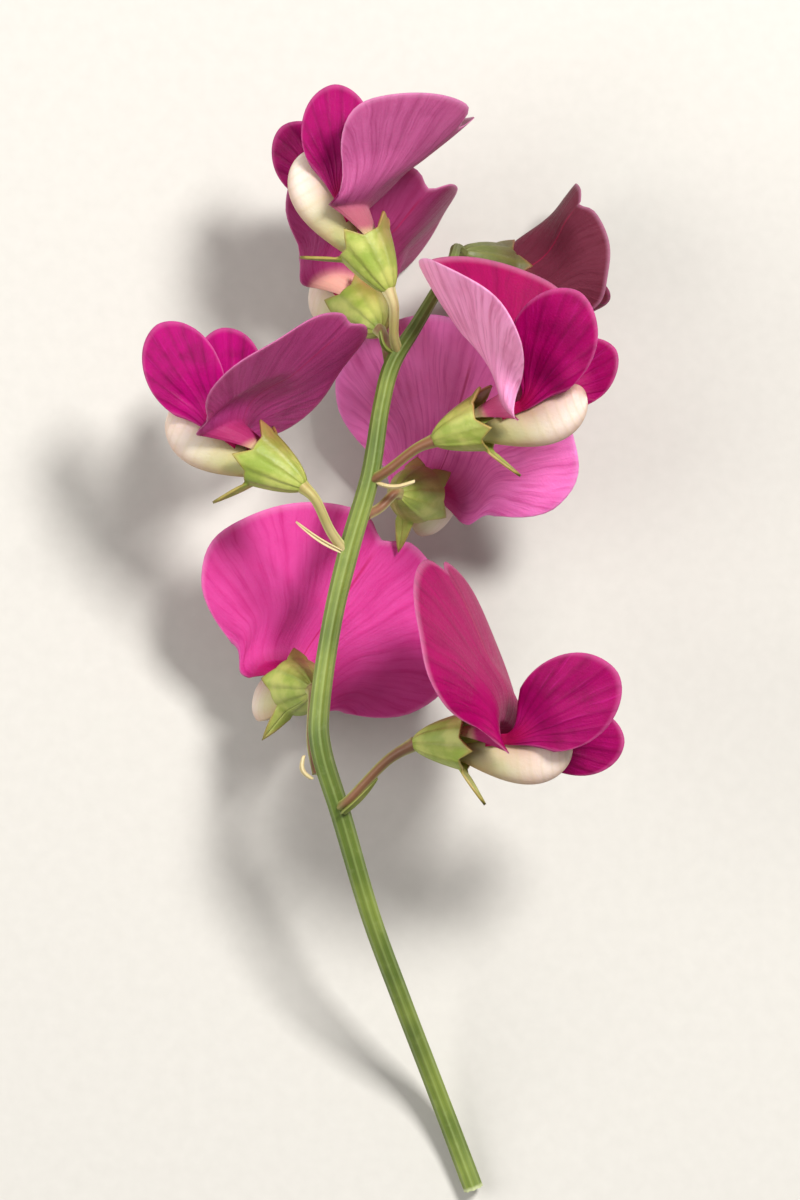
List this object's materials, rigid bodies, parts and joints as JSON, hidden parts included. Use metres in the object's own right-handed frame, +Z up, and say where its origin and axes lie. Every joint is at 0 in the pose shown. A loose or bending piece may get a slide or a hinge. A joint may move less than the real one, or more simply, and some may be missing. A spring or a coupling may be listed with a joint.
{
  "type": "earthnut pea flower",
  "caption": "Cut raceme of pea flowers lying down: ribbed stem, pedicels, toothed green calyces, broad pink standards, magenta wings and cream keels.",
  "frame": {"origin": "centre of the underside of the bounding box, on the surface that the raceme lies on", "axes": "+Y along the raceme from the cut end of its stem to its tip, +X across it, to the right as in the picture, +Z up from the surface"},
  "size_m": [0.0384, 0.0892, 0.0329],
  "materials": {
    "stem": "fresh green plant tissue, ribbed, satin",
    "calyx": "yellow-green tissue with red-brown veins, satin",
    "standard": "pink petal, finely veined, soft sheen",
    "wing": "deep magenta petal, soft sheen",
    "keel": "cream petal, soft sheen"
  },
  "bodies": {
    "root": {"raceme_axis": "stem", "calyx_1": "calyx", "standard_1": "standard", "wing_left_1": "wing", "wing_right_1": "wing", "keel_1": "keel", "calyx_2": "calyx", "standard_2": "standard", "wing_left_2": "wing", "wing_right_2": "wing", "keel_2": "keel", "calyx_3": "calyx", "standard_3": "standard", "wing_left_3": "wing", "wing_right_3": "wing", "keel_3": "keel", "calyx_4": "calyx", "standard_4": "standard", "wing_left_4": "wing", "wing_right_4": "wing", "keel_4": "keel", "calyx_5": "calyx", "standard_5": "standard", "wing_left_5": "wing", "wing_right_5": "wing", "keel_5": "keel", "calyx_6": "calyx", "standard_6": "standard", "wing_left_6": "wing", "wing_right_6": "wing", "keel_6": "keel", "calyx_7": "calyx", "standard_7": "standard", "wing_left_7": "wing", "wing_right_7": "wing", "keel_7": "keel", "calyx_8": "calyx", "standard_8": "standard", "wing_left_8": "wing", "wing_right_8": "wing", "keel_8": "keel"}
  },
  "joints": []
}
